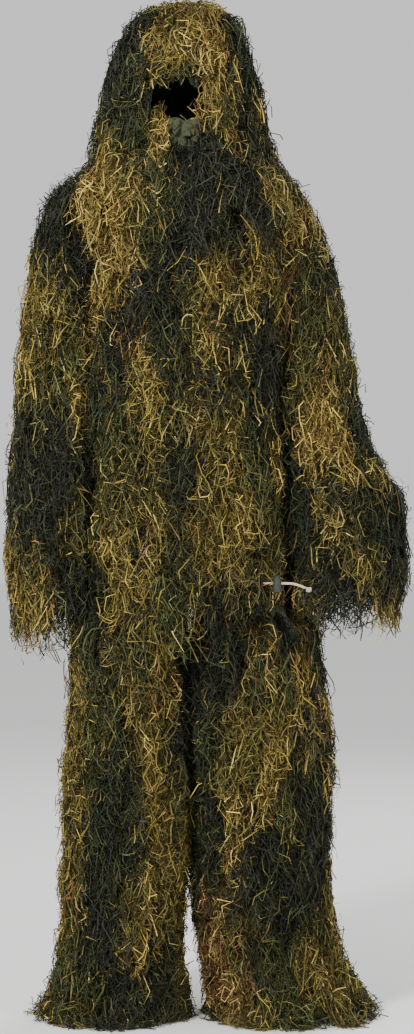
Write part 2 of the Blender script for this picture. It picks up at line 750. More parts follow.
class ThreadTree:
    """The Geometry Nodes tree that spins a tuft's threads round its guide."""

    SIZES = ("threads", "points", "width", "spread", "lift", "curl", "pitch", "scatter", "shortest", "wander")
    COUNTS = ("threads", "points")

    def __init__(self) -> None:
        """Builds the tree once."""
        self.tree = bpy.data.node_groups.new("sewn_threads", "GeometryNodeTree")
        face = self.tree.interface
        face.new_socket(name="Guides", in_out="INPUT", socket_type="NodeSocketGeometry")
        for name in self.SIZES:
            kind = "NodeSocketInt" if name in self.COUNTS else "NodeSocketFloat"
            face.new_socket(name=name, in_out="INPUT", socket_type=kind)
        face.new_socket(name="finish", in_out="INPUT", socket_type="NodeSocketMaterial")
        face.new_socket(name="Threads", in_out="OUTPUT", socket_type="NodeSocketGeometry")
        self.bench = NodeBench(self.tree)
        self.given = self.bench.add("NodeGroupInput").outputs
        self.build()

    def named(self, name: str, kind: str = "FLOAT") -> bpy.types.NodeSocket:
        """A stored attribute's value. Args: name: the attribute; kind: its data type."""
        return self.bench.add("GeometryNodeInputNamedAttribute", {"Name": name}, data_type=kind).outputs[0]

    def store(
        self, shape: object, name: str, value: object, domain: str, kind: str = "FLOAT"
    ) -> bpy.types.NodeSocket:
        """Stores an attribute on a geometry.

        Args:
            shape: the geometry socket.
            name: the attribute.
            value: its value.
            domain: where it is stored.
            kind: its data type.

        Returns:
            The geometry socket.
        """
        node = self.bench.add(
            "GeometryNodeStoreNamedAttribute",
            {"Geometry": shape, "Name": name, "Value": value},
            data_type=kind,
            domain=domain,
        )
        return node.outputs[0]

    def chance(self, low: object, high: object, seed: int, kind: str = "FLOAT") -> bpy.types.NodeSocket:
        """A random value for each thread.

        Args:
            low: the least value.
            high: the greatest value.
            seed: the fixed seed.
            kind: its data type.

        Returns:
            The value's socket.
        """
        bench, first = self.bench, {"FLOAT_VECTOR": 0, "FLOAT": 2}[kind]
        index = bench.add("GeometryNodeInputIndex").outputs[0]
        given = {first: low, first + 1: high, "ID": index, "Seed": seed}
        node = bench.add("FunctionNodeRandomValue", given, data_type=kind)
        return node.outputs[0 if kind == "FLOAT_VECTOR" else 1]

    def build(self) -> None:
        """Joins the nodes, from the guides to the finished threads."""
        bench, given = self.bench, self.given
        lines = bench.add("GeometryNodeMeshToCurve", {"Mesh": given["Guides"]}).outputs[0]
        copies = bench.add(
            "GeometryNodeDuplicateElements", {"Geometry": lines, "Amount": given["threads"]}, domain="SPLINE"
        ).outputs[0]
        shape, turn = copies, 2 * math.pi
        for name, low, high, seed in (
            ("spot", (-1, 0, -1), (1, 1, 1), 3),
            ("wave", (0, 0, 0), (turn,) * 3, 5),
            ("pace", (0.6,) * 3, (1.5,) * 3, 7),
        ):
            drawn = self.chance(low, high, seed, "FLOAT_VECTOR")
            shape = self.store(shape, name, drawn, "CURVE", "FLOAT_VECTOR")
        cut = self.chance(given["shortest"], 1.0, 11)
        shape = bench.add("GeometryNodeTrimCurve", {"Curve": shape, "End": cut}, mode="FACTOR").outputs[0]
        counted = {"Curve": shape, "Count": given["points"]}
        shape = bench.add("GeometryNodeResampleCurve", counted, mode="COUNT").outputs[0]
        run = bench.add("GeometryNodeSplineParameter")
        shape = self.store(shape, "along", run.outputs["Factor"], "POINT")
        shape = self.store(shape, "reach", run.outputs["Length"], "POINT")
        shape = self.store(shape, "jitter", self.chance(-1.0, 1.0, 13), "CURVE")
        shape = self.store(shape, "stray", self.chance(-1.0, 1.0, 17), "CURVE")
        along, reach = self.named("along"), self.named("reach")
        spot, wave, pace = (
            bench.add("ShaderNodeSeparateXYZ", {0: self.named(name, "FLOAT_VECTOR")}).outputs
            for name in ("spot", "wave", "pace")
        )

        widen = bench.math("MULTIPLY_ADD", bench.math("POWER", along, 0.6), 0.8, 0.2)
        swell = bench.math("MULTIPLY", bench.math("POWER", along, 0.45), given["curl"])
        beat = bench.math("DIVIDE", bench.math("MULTIPLY", reach, turn), given["pitch"])

        def ripple(phase: object, speed: object, share: float) -> bpy.types.NodeSocket:
            """One curl across the thread. Args: phase, speed: per thread; share: of the curl's size."""
            angle = bench.math("MULTIPLY_ADD", beat, speed, phase)
            return bench.math("MULTIPLY", bench.math("MULTIPLY", bench.math("SINE", angle), swell), share)

        fine_curl = ripple(wave[2], bench.math("MULTIPLY", pace[1], 2.1), 0.6)
        sideways = bench.math(
            "ADD",
            bench.math("MULTIPLY", bench.math("MULTIPLY", spot[0], given["spread"]), widen),
            bench.math("ADD", ripple(wave[0], pace[0], 1.4), fine_curl),
        )
        outwards = bench.math(
            "ADD",
            bench.math("MULTIPLY", bench.math("MULTIPLY", spot[1], given["lift"]), widen),
            ripple(wave[1], pace[1], 0.7),
        )
        upwards = bench.math("ADD", ripple(wave[2], pace[2], 1.7), bench.math("MULTIPLY", spot[2], 0.008))
        side = bench.scaled(self.named("side", "FLOAT_VECTOR"), sideways)
        out = bench.scaled(self.named("out", "FLOAT_VECTOR"), outwards)
        rise = bench.add("ShaderNodeCombineXYZ", {2: upwards}).outputs[0]
        place = bench.add("GeometryNodeInputPosition").outputs[0]
        apart = bench.vector("ADD", place, bench.scaled(self.named("spot", "FLOAT_VECTOR"), 0.035))
        cloud = bench.add("ShaderNodeTexNoise", {"Vector": apart, "Scale": 14.0})
        drift = bench.scaled(
            bench.vector("SUBTRACT", cloud.outputs["Color"], (0.5, 0.5, 0.5)),
            bench.math("MULTIPLY", bench.math("MULTIPLY", given["wander"], self.named("room")), along),
        )
        offset = bench.vector("ADD", bench.vector("ADD", side, out), bench.vector("ADD", rise, drift))
        shape = bench.add("GeometryNodeSetPosition", {"Geometry": shape, "Offset": offset}).outputs[0]
        most = (REACH_LEFT, REACH_DEEP, REACH_TOP)
        least = (-REACH_RIGHT, -REACH_DEEP, height_m(FLOOR_CLEARANCE))
        held = bench.vector("MAXIMUM", bench.vector("MINIMUM", place, most), least)
        shape = bench.add("GeometryNodeSetPosition", {"Geometry": shape, "Position": held}).outputs[0]
        taper = bench.math("MULTIPLY_ADD", bench.math("POWER", along, 3.0), -0.55, 1.0)
        shape = bench.add("GeometryNodeSetCurveRadius", {"Curve": shape, "Radius": taper}).outputs[0]
        twist = bench.math("MULTIPLY_ADD", reach, 55.0, wave[0])
        shape = bench.add("GeometryNodeSetCurveTilt", {"Curve": shape, "Tilt": twist}).outputs[0]
        odd = self.named("stray")
        square = bench.math("MULTIPLY", odd, odd)
        fourth = bench.math("MULTIPLY", square, square)
        strays = bench.math("MULTIPLY", fourth, bench.math("MULTIPLY", odd, 0.55))
        hue = bench.math("MULTIPLY_ADD", self.named("jitter"), given["scatter"], self.named("tone"))
        hue = bench.math("ADD", hue, strays)
        hue = bench.math("MINIMUM", bench.math("MAXIMUM", hue, 0.006), 0.994)
        shape = self.store(shape, "hue", hue, "POINT")

        half = bench.math("MULTIPLY", given["width"], 0.5)
        ends = [
            bench.add("ShaderNodeCombineXYZ", {0: bench.math("MULTIPLY", half, way)}).outputs[0]
            for way in (-1.0, 1.0)
        ]
        ribbon = bench.add("GeometryNodeCurvePrimitiveLine", {"Start": ends[0], "End": ends[1]}).outputs[0]
        index = bench.add("GeometryNodeInputIndex").outputs[0]
        ribbon = self.store(ribbon, "edge", bench.math("MULTIPLY_ADD", index, 0.008, -0.004), "POINT")
        skin = bench.add("GeometryNodeCurveToMesh", {"Curve": shape, "Profile Curve": ribbon}).outputs[0]
        spotted = bench.add(
            "ShaderNodeCombineXYZ",
            {0: bench.math("ADD", self.named("hue"), self.named("edge")), 1: self.named("along")},
        ).outputs[0]
        skin = self.store(skin, "OFBake", spotted, "CORNER", "FLOAT2")
        skin = bench.add("GeometryNodeSetShadeSmooth", {"Geometry": skin}).outputs[0]
        skin = bench.add("GeometryNodeRealizeInstances", {"Geometry": skin}).outputs[0]
        skin = bench.add("GeometryNodeSetMaterial", {"Geometry": skin, "Material": given["finish"]})
        bench.add("NodeGroupOutput", {0: skin.outputs[0]})

    def spin(self, name: str, guides: bpy.types.Object, sizes: ThreadSizes) -> bpy.types.Object:
        """Spins the threads of one panel into a plain mesh.

        Args:
            name: the piece's name.
            guides: the guide lines, which are removed.
            sizes: how the tufts are spun.

        Returns:
            The threads' object.
        """
        modifier = guides.modifiers.new("threads", "NODES")
        modifier.node_group = self.tree
        for item in self.tree.interface.items_tree:
            if item.item_type == "SOCKET" and item.in_out == "INPUT" and item.name in self.SIZES:
                modifier[item.identifier] = getattr(sizes, item.name)
            elif item.item_type == "SOCKET" and item.name == "finish":
                modifier[item.identifier] = THREADS.material()
        graph = bpy.context.evaluated_depsgraph_get()
        evaluated = guides.evaluated_get(graph)
        mesh = bpy.data.meshes.new_from_object(evaluated, preserve_all_data_layers=True, depsgraph=graph)
        mesh.name = name
        for spare in [a.name for a in mesh.attributes if a.name in self.extras()]:
            mesh.attributes.remove(mesh.attributes[spare])
        if not mesh.materials:
            mesh.materials.append(THREADS.material())
        made = bpy.data.objects.new(name, mesh)
        bpy.context.scene.collection.objects.link(made)
        bpy.data.objects.remove(guides)
        return made

    @staticmethod
    def extras() -> tuple[str, ...]:
        """The attributes that only the tree needs."""
        drawn = ("spot", "wave", "pace", "along", "reach", "jitter", "stray", "hue", "edge")
        return drawn + ("room", "tone", "side", "out")


@dataclass
class Tufts:
    """Guide lines of a panel's tufts: points, and each point's outward and sideways directions."""

    points: Array
    out: Array
    side: Array
    room: Array
    tone: Array

    def lines(self, name: str) -> bpy.types.Object:
        """The guide lines as a mesh of edges, with the directions and dyes as attributes."""
        count, steps = self.points.shape[:2]
        mesh = bpy.data.meshes.new(name)
        first = np.arange(count)[:, None] * steps + np.arange(steps - 1)
        edges = np.stack([first, first + 1], -1).reshape(-1, 2)
        mesh.from_pydata([tuple(p) for p in self.points.reshape(-1, 3)], edges.tolist(), [])
        for label, values in (("out", self.out), ("side", self.side)):
            mesh.attributes.new(label, "FLOAT_VECTOR", "POINT").data.foreach_set(
                "vector", values.reshape(-1).astype(np.float32)
            )
        for label, values in (("tone", np.repeat(self.tone, steps)), ("room", self.room.reshape(-1))):
            mesh.attributes.new(label, "FLOAT", "POINT").data.foreach_set("value", values.astype(np.float32))
        made = bpy.data.objects.new(name, mesh)
        bpy.context.scene.collection.objects.link(made)
        return made


@dataclass
class ShaggyPanel:
    """A panel of cloth with its rows of tufts.

    The tufts' roots lie on the skin between two heights and two turns. Their threads hang down the outlines.
    """

    name: str
    skin: Outline
    pile: Outline
    low: float
    high: float
    start: float = 0.0
    stop: float = 2 * math.pi
    length: tuple[float, float] = (0.12, 0.19)
    row_gap: float = 46.0
    tuft_gap: float = 0.034
    seed: int = 1
    sizes: ThreadSizes = field(default_factory=ThreadSizes)
    steps: int = 10
    lean: float = 0.16
    tuck: float = 0.008

    def roots(self, rng: np.random.Generator) -> tuple[Array, Array]:
        """Heights and turns of the panel's tufts, in staggered rows."""
        stations = self.pile.stations(4.0)
        middle = self.pile.at(stations, np.full(len(stations), (self.start + self.stop) / 2))
        run = np.concatenate([[0], np.cumsum(np.linalg.norm(np.diff(middle, axis=0), axis=1))]) / MM
        top, foot = np.interp([self.high, self.low], stations[::-1], run[::-1])
        rows = max(1, round((foot - top) / self.row_gap))
        heights, turns = [], []
        for row in range(rows):
            height = np.interp(top + (row + 0.5) * (foot - top) / rows, run, stations)
            girth = self.pile.girth(height, self.start, self.stop)
            count = max(6, round(girth / self.tuft_gap))
            around = self.pile.spread_turns(height, count, self.start, self.stop)
            slack = (self.stop - self.start) / count
            turns.append(around + (row % 2 - 0.5) * slack * 0.5 + rng.uniform(-0.3, 0.3, count) * slack)
            heights.append(height + rng.uniform(-0.3, 0.3, count) * self.row_gap)
        return np.clip(np.concatenate(heights), self.low, self.high), np.concatenate(turns)

    def spots(self, rng: np.random.Generator) -> tuple[Array, Array, Array]:
        """Heights, turns and thread lengths of the tufts that are sewn on. Subclasses leave some out."""
        heights, turns = self.roots(rng)
        return heights, turns, rng.uniform(*self.length, len(heights))

    def guides(self, rng: np.random.Generator) -> Tufts:
        """The tufts' guide lines, hanging down the outlines."""
        heights, turns, lengths = self.spots(rng)
        count = len(heights)
        stations = np.unique(np.concatenate([self.pile.stations(5.0), self.skin.stations(5.0)]))[::-1]
        tall = np.broadcast_to(stations, (count, len(stations)))
        wide = np.broadcast_to(turns[:, None], tall.shape)
        middle = (self.skin.at(tall, wide) + self.pile.at(tall, wide)) / 2
        run = np.cumsum(np.linalg.norm(np.diff(middle, axis=1), axis=2), axis=1)
        run = np.concatenate([np.zeros((count, 1)), run], axis=1)
        share = np.linspace(0, 1, self.steps)
        fall = np.empty((count, self.steps))
        for n in range(count):
            begin = np.interp(-heights[n], -stations, run[n])
            fall[n] = np.interp(begin + lengths[n] * share, run[n], stations)
        lean = rng.normal(0, self.lean, count)[:, None] * share
        around = turns[:, None] + lean
        inner, outer = self.skin.at(fall, around), self.pile.at(fall, around)
        layer = rng.uniform(0.55, 1.02, count)[:, None]
        lift = layer * np.minimum(1, share / 0.34) ** 0.7
        points = inner + (outer - inner) * lift[..., None]
        begins = np.array([np.interp(-h, -stations, r) for h, r in zip(heights, run)])
        excess = lengths - (run[:, -1] - begins)
        points[:, :, 2] -= np.maximum(0, excess)[:, None] * np.maximum(0, share - 0.5) * 0.5
        for _ in range(2):
            points[:, 1:-1] = (points[:, :-2] + 2 * points[:, 1:-1] + points[:, 2:]) / 4
        out = outer - inner
        room = np.linalg.norm(out, axis=-1, keepdims=True)
        out /= np.maximum(room, 1e-9)
        points = points - out * np.minimum(self.tuck, 0.5 * room) * np.minimum(1, 2 * share)[:, None]
        down = np.gradient(points, axis=1)
        side = np.cross(out, down)
        side /= np.maximum(np.linalg.norm(side, axis=-1, keepdims=True), 1e-9)
        points = self.shaped(points)
        room = np.clip(room / 0.024, 0.15, 1.15)
        return Tufts(points, out * room, side, 2.6 * room[..., 0], tones_at(points[:, self.steps // 2], rng))

    def shaped(self, points: Array) -> Array:
        """The guide lines' points as this panel bends them. Most panels leave them alone."""
        return points

    def sew(self, tree: ThreadTree) -> bpy.types.Object:
        """The panel's threads as one piece."""
        rng = np.random.default_rng(self.seed)
        guides = self.guides(rng)
        made = tree.spin(f"{self.name}_pile", guides.lines(f"{self.name}_guides"), self.sizes)
        log.info("%s: %d tufts, %d faces", made.name, len(guides.tone), len(made.data.polygons))
        return made

    def cloth(self, wall: float = 0.0016, folds: float = 0.0028) -> bpy.types.Object:
        """The panel's ground cloth, with soft upright folds.

        Args:
            wall: the cloth's thickness in metres.
            folds: the folds' depth in metres.

        Returns:
            The cloth's object.
        """
        heights = np.array([h for h in self.skin.stations(16.0) if self.low - 0.1 <= h <= self.high + 0.1])
        heights = np.unique(np.concatenate([heights, [self.low, self.high]]))
        joined = abs(self.stop - self.start - 2 * math.pi) < 1e-6
        count = max(12, round(self.pile.girth((self.low + self.high) / 2, self.start, self.stop) / 0.012))
        turns = np.linspace(self.start, self.stop, count, endpoint=not joined)
        tall, wide = np.meshgrid(heights, turns, indexing="ij")
        grid = self.skin.at(tall, wide)
        centre = grid.mean(axis=1, keepdims=True)
        away = grid - centre
        away[..., 2] = 0
        away /= np.maximum(np.linalg.norm(away, axis=-1, keepdims=True), 1e-9)
        pleat = np.sin(9 * wide + 3.1 * np.sin(tall / 90)) + 0.6 * np.sin(17 * wide + tall / 37)
        fade = np.minimum(1, np.minimum(tall - self.low, self.high - tall) / 25)
        grid = grid + away * (folds * 0.5 * pleat * fade - folds * 0.6 * fade)[..., None]
        return walled(f"{self.name}_cloth", grid, wall, joined, NET_CLOTH, self.kept(grid))

    def kept(self, grid: Array) -> Array | None:
        """Which of the cloth's quads are kept, or None for all. Args: grid: the cloth's points."""
        return None


@dataclass
class HoodPanel(ShaggyPanel):
    """The hood's own panel, with its arched face opening."""

    half_width: float = 0.058
    spring: float = 1645.0
    top: float = 1694.0

    def in_opening(self, points: Array, grow: float = 0.0) -> Array:
        """Which points lie in the face opening, grown by a distance in metres."""
        across = np.abs(points[..., 0] - HOOD_X * MM) / (self.half_width + grow)
        rise = (self.top - self.spring) * MM + grow
        arch = height_m(self.spring) + rise * np.sqrt(np.clip(1 - across**2, 0, 1))
        return (points[..., 1] < 0) & (across < 1) & (points[..., 2] < arch)

    def spots(self, rng: np.random.Generator) -> tuple[Array, Array, Array]:
        """Tufts outside the face opening, with a short fringe above it."""
        heights, turns, lengths = super().spots(rng)
        points = self.skin.at(heights, turns)
        near = points[:, 0] < HOOD_X * MM
        keep = ~np.where(near, self.in_opening(points, 0.018), self.in_opening(points, 0.006))
        central = np.abs(points[:, 0] - HOOD_X * MM) < np.where(near, 0.072, 0.056)
        above = (points[:, 1] < 0) & central & keep & (heights > self.spring)
        room = (heights - self.top) * MM * 1.08 + rng.uniform(0.006, 0.024, len(heights))
        lengths = np.where(above, np.clip(room, 0.022, lengths), lengths)
        return heights[keep], turns[keep], lengths[keep]

    def kept(self, grid: Array) -> Array | None:
        """The quads that lie outside the face opening. Args: grid: the cloth's points."""
        middle = (grid[:-1] + grid[1:]) / 2
        middle = (middle + np.roll(middle, -1, 1)) / 2
        return ~self.in_opening(middle)


@dataclass
class RimPanel(HoodPanel):
    """Tufts sewn close together along the rim of the face opening."""

    count: int = 30

    def spots(self, rng: np.random.Generator) -> tuple[Array, Array, Array]:
        """Tufts on the rim: short over the arch, long down both sides."""
        places = np.linspace(-1, 1, self.count) + rng.uniform(-0.02, 0.02, self.count)
        straight, half = self.spring - self.low, self.half_width / MM + 5
        rise = self.top - self.spring + 5
        run = np.abs(places) * (straight + 0.5 * math.pi * half)
        angle = np.clip(0.5 * math.pi - run / half, 0, None)
        on_side = run > 0.5 * math.pi * half
        below = run - 0.5 * math.pi * half
        height = np.where(on_side, self.spring - below, self.spring + rise * np.sin(angle))
        across = np.sign(places) * np.where(on_side, half, half * np.cos(angle))
        across = np.where(across < 0, across - 17, across)
        fine = np.linspace(-math.pi, 0, 721)
        turns = np.empty(self.count)
        for n in range(self.count):
            line = self.skin.at(np.full(721, height[n]), fine)[:, 0] / MM - HOOD_X
            turns[n] = np.interp(across[n], line, fine)
        drop = (height - self.top) * MM + rng.uniform(0.016, 0.030, self.count)
        beside = rng.uniform(0.09, 0.15, self.count)
        lengths = np.where(np.abs(across) < 0.8 * half, np.clip(drop, 0.018, 0.04), beside)
        return height, turns, lengths


@dataclass
class CrownPanel(HoodPanel):
    """Tufts that lie right across the crown, so that the threads don't part there."""

    count: int = 26

    def guides(self, rng: np.random.Generator) -> Tufts:
        """Guide lines that start on one side of the crown and fall down the other."""
        stations = self.pile.stations(2.0)
        share = np.linspace(0, 1, self.steps)
        points = np.empty((self.count, self.steps, 3))
        for n in range(self.count):
            begin, length = rng.uniform(-0.050, -0.012), rng.uniform(*self.length)
            reach = begin + length * share
            way = 2 * math.pi * (n + rng.uniform(-0.3, 0.3)) / self.count
            for part, turn in ((reach <= 0, way + math.pi), (reach > 0, way)):
                line = self.pile.at(stations, np.full(len(stations), turn))
                run = np.concatenate([[0], np.cumsum(np.linalg.norm(np.diff(line, axis=0), axis=1))])
                heights = np.interp(np.abs(reach[part]), run, stations)
                points[n, part] = self.pile.at(heights, np.full(part.sum(), turn))
        points[..., 2] -= rng.uniform(0.014, 0.026, self.count)[:, None]
        for _ in range(3):
            points[:, 1:-1] = (points[:, :-2] + 2 * points[:, 1:-1] + points[:, 2:]) / 4
        out = points - np.array([HOOD_X * MM, 0, height_m(1700)])
        out /= np.linalg.norm(out, axis=-1, keepdims=True)
        side = np.cross(out, np.gradient(points, axis=1))
        side /= np.maximum(np.linalg.norm(side, axis=-1, keepdims=True), 1e-9)
        tones = tones_at(points[:, self.steps // 2], rng)
        return Tufts(points, out, side, np.full(points.shape[:2], 0.8), tones)


@dataclass
class BeardPanel(ShaggyPanel):
    """The curtain of threads under the chin and down both sides of the chin panel."""

    def spots(self, rng: np.random.Generator) -> tuple[Array, Array, Array]:
        """Rows below the panel's foot, and close bundles beside it."""
        heights, turns, lengths = super().spots(rng)
        across = self.skin.at(heights, turns)[:, 0] / MM - HOOD_X
        front = (np.abs(across) < 36) & (heights > 1550)
        beside = np.repeat([-1.0, 1.0], 8)
        tall = np.tile(np.linspace(1578, 1632, 8), 2)
        edge = HOOD_X + beside * rng.uniform(44, 56, 16) + np.where(beside < 0, 11, 0)
        fine = np.linspace(-math.pi, 0, 721)
        rings = [self.skin.at(np.full(721, height), fine)[:, 0] for height in tall]
        more = np.array([np.interp(x * MM, ring, fine) for x, ring in zip(edge, rings)])
        return (
            np.concatenate([heights[~front], tall]),
            np.concatenate([turns[~front], more]),
            np.concatenate([lengths[~front], rng.uniform(0.10, 0.15, 16)]),
        )

    def shaped(self, points: Array) -> Array:
        """Lets the curtain hang nearly straight down instead of fanning out."""
        root = points[:, :1, 0]
        points[..., 0] = root + 0.4 * (points[..., 0] - root)
        return points


@dataclass
class ClearPanel(ShaggyPanel):
    """A jacket panel that leaves out the tufts under a sleeve and holds its threads off the drawcord."""

    side_limit: float = 0.176

    def spots(self, rng: np.random.Generator) -> tuple[Array, Array, Array]:
        """Tufts that the sleeves don't hide."""
        heights, turns, lengths = super().spots(rng)
        points = self.pile.at(heights, turns)
        hidden = (np.abs(points[:, 0]) > self.side_limit) & (heights < 1370) & (heights > 830)
        return heights[~hidden], turns[~hidden], lengths[~hidden]

    def shaped(self, points: Array) -> Array:
        """Pushes the guides behind the drawcord where it shows at the hem."""
        x, height = points[..., 0] / MM, points[..., 2] / MM + ORIGIN_HEIGHT
        over = (x > 44) & (x < 121) & (height < 812) & (height > 745) & (points[..., 1] < 0)
        points[..., 1] = np.where(over, np.minimum(points[..., 1], -0.162), points[..., 1])
        near = (x > 121) & (x < 206) & (height < 806) & (points[..., 1] < 0)
        points[..., 1] = np.where(near, np.maximum(points[..., 1], -0.128), points[..., 1])
        return points


@dataclass(frozen=True)
class Bend:
    """Cloth that crosses a joint: its two bodies, and the heights in millimetres between which it turns."""

    first: str
    second: str
    high: float
    low: float
    x: float = 0.0


def ride(made: bpy.types.Object, body: str | Bend, slot: str, *nodes: str) -> bpy.types.Object:
    """Puts a piece on its body or across its joint, and says what it stands for.

    Args:
        made: the piece.
        body: the body that it moves with, or the bend that it follows.
        slot: the record's material slot.
        nodes: the CAD nodes that it replaces.

    Returns:
        The piece.
    """
    if isinstance(body, Bend):
        ends = [(body.x, 0, height_m(height)) for height in (body.high, body.low)]
        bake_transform(made, body.first, body.second, start=ends[0], end=ends[1])
    else:
        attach(made, body)
    if nodes:
        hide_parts(*nodes)
    return made


# ---------------------------------------------------------------- the suit's own outlines


def both_sides(low_x: float, high_x: float, deep: float, height: float, square: float = 2.2) -> Level:
    """An oval level centred fore and aft.

    Args:
        low_x: its lower x in millimetres.
        high_x: its higher x.
        deep: half its depth.
        height: its height above the floor.
        square: its squareness, 2 for an ellipse.

    Returns:
        The level.
    """
    return (height, low_x, high_x, -deep, deep, square)


HOOD_SKIN = Outline((
    (1480, -160, 130, -150, 150, 2.2), (1560, -130, 100, -122, 128, 2), (1640, -129, 99, -122, 128, 2),
    (1700, -118, 88, -112, 118, 2), (1750, -94, 64, -86, 92, 2), (1782, -60, 30, -44, 50, 2),
    (1794, -15, -15, 0, 0, 2),
))
HOOD_PILE = Outline((
    (1480, -188, 154, -162, 162, 2.2), (1560, -172, 138, -146, 148, 2), (1600, -164, 134, -146, 148, 2),
    (1650, -154, 128, -142, 144, 2), (1700, -146, 116, -132, 136, 2), (1750, -130, 102, -114, 120, 2),
    (1790, -114, 92, -94, 100, 2), (1812, -98, 78, -74, 80, 2), (1825, -68, 62, -46, 52, 2),
    (1834, -2, -2, 0, 0, 2),
))
HOOD_ROOTS = Outline((
    (1480, -160, 130, -150, 150, 2.2), (1560, -142, 112, -127, 132, 2), (1640, -140, 110, -126, 132, 2),
    (1700, -130, 98, -116, 121, 2), (1750, -110, 80, -96, 102, 2), (1790, -88, 62, -72, 78, 2),
    (1811, -58, 42, -42, 46, 2), (1824, -4, -4, 0, 0, 2),
))
BEARD_SKIN = Outline((
    (1300, -165, 135, -150, 150, 2), (1420, -160, 130, -152, 152, 2), (1519, -160, 130, -158, 158, 2),
    (1566, -135, 105, -133, 133, 2), (1590, -128, 98, -119, 119, 2), (1640, -128, 98, -119, 119, 2),
))
BEARD_PILE = Outline((
    (1300, -185, 155, -166, 166, 2), (1420, -180, 150, -170, 170, 2), (1519, -178, 148, -176, 176, 2),
    (1566, -150, 120, -147, 147, 2), (1590, -143, 113, -134, 134, 2), (1640, -141, 111, -130, 130, 2),
))
CAPE_ROOTS = Outline((
    (1300, -268, 238, -152, 152, 2.3), (1400, -254, 216, -150, 148, 2.3), (1460, -232, 192, -146, 144, 2.2),
    (1500, -198, 164, -156, 156, 2.1), (1521, -178, 146, -150, 150, 2), (1545, -158, 128, -138, 138, 2),
    (1562, -146, 116, -124, 126, 2),
))
CAPE_SKIN = Outline((
    (1300, -270, 250, -150, 150, 2.3), (1400, -258, 240, -142, 142, 2.3), (1460, -238, 214, -132, 132, 2.2),
    (1500, -188, 158, -150, 150, 2.1), (1521, -166, 136, -138, 138, 2), (1549, -108, 78, -93, 93, 2),
))
CAPE_PILE = Outline((
    (1300, -298, 266, -176, 176, 2.3), (1400, -280, 242, -172, 170, 2.3), (1460, -260, 216, -168, 166, 2.2),
    (1500, -222, 186, -180, 180, 2.1), (1519, -198, 166, -174, 174, 2), (1562, -174, 145, -150, 150, 2),
))
JACKET_SKIN = Outline((
    (640, -164, 154, -134, 140, 2.4), (776, -160, 150, -130, 136, 2.4), (900, -159, 149, -130, 134, 2.4),
    (1020, -158, 147, -130, 131, 2.4), (1150, -160, 146, -130, 130, 2.4), (1300, -163, 148, -130, 130, 2.4),
    (1400, -163, 148, -130, 124, 2.4), (1450, -158, 138, -114, 112, 2.4), (1486, -137, 110, -102, 102, 2.2),
    (1501, -106.3, 76.3, -91.3, 91.3, 2), (1508, -106.3, 76.3, -91.3, 91.3, 2),
))
JACKET_PILE = Outline((
    (640, -176, 172, -160, 164, 2.4), (797, -180, 176, -166, 166, 2.4), (900, -180, 176, -162, 162, 2.4),
    (1100, -180, 175, -160, 160, 2.4), (1300, -182, 175, -160, 158, 2.4), (1400, -182, 172, -152, 150, 2.4),
    (1450, -177, 162, -138, 136, 2.4), (1486, -157, 132, -121, 121, 2.2), (1511, -112, 82, -97, 97, 2),
))
SLEEVE_PILE_LEFT = Outline((
    both_sides(172, 384, 102, 700), both_sides(168, 388, 104, 800), both_sides(168, 392, 108, 860),
    both_sides(168, 386, 106, 930), both_sides(168, 338, 98, 1000), both_sides(168, 312, 88, 1080),
    both_sides(168, 302, 85, 1130), both_sides(168, 284, 85, 1240), both_sides(168, 260, 85, 1330),
    both_sides(156, 228, 85, 1425), both_sides(146, 206, 66, 1475), both_sides(138, 178, 34, 1500),
    both_sides(152, 152, 0, 1508),
))
SLEEVE_PILE_RIGHT = Outline((
    both_sides(172, 318, 94, 660), both_sides(168, 326, 98, 800), both_sides(168, 336, 104, 870),
    both_sides(168, 324, 100, 960), both_sides(168, 320, 92, 1050), both_sides(168, 310, 85, 1130),
    both_sides(168, 304, 85, 1240), both_sides(168, 292, 85, 1330), both_sides(160, 270, 85, 1425),
    both_sides(150, 244, 66, 1475), both_sides(140, 200, 34, 1500), both_sides(158, 158, 0, 1508),
)).mirrored()
LEG_PILE_LEFT = Outline((
    (2.0, 22, 352, -176, 176, 2), (3.0, 32, 336, -160, 160, 2), (6.0, 36, 326, -150, 150, 2),
    (30, 38, 312, -142, 142, 2), (90, 26, 280, -128, 126, 2), (170, 12, 256, -120, 118, 2.2),
    (260, 8, 252, -120, 118, 2.2), (360, 5, 256, -124, 122, 2.2), (480, 3.5, 250, -130, 126, 2.2),
    (600, 3.5, 238, -136, 132, 2.2), (700, 3.5, 238, -140, 140, 2.2), (760, 3.5, 186, -140, 140, 2.2),
))
LEG_PILE_RIGHT = Outline((
    (2.0, -4, 292, -176, 176, 2), (3.0, 0, 278, -160, 160, 2), (6.0, 3.5, 264, -150, 150, 2),
    (30, 3.5, 258, -142, 142, 2), (90, 18, 238, -126, 126, 2), (170, 18, 228, -118, 118, 2.2),
    (260, 10, 224, -118, 118, 2.2), (360, 4, 230, -124, 122, 2.2), (480, 3.5, 218, -130, 126, 2.2),
    (600, 3.5, 214, -136, 132, 2.2), (700, 3.5, 220, -140, 140, 2.2), (760, 3.5, 182, -140, 140, 2.2),
)).mirrored()


def skin_under(pile: Outline, side: int, near: float, far: float, deep: float) -> Outline:
    """A limb's skin inside its pile, for the side of the suit it is on (+1 the wearer's left)."""
    return pile.inset(near, far, deep) if side > 0 else pile.inset(far, near, deep)


# ---------------------------------------------------------------- sub-assemblies


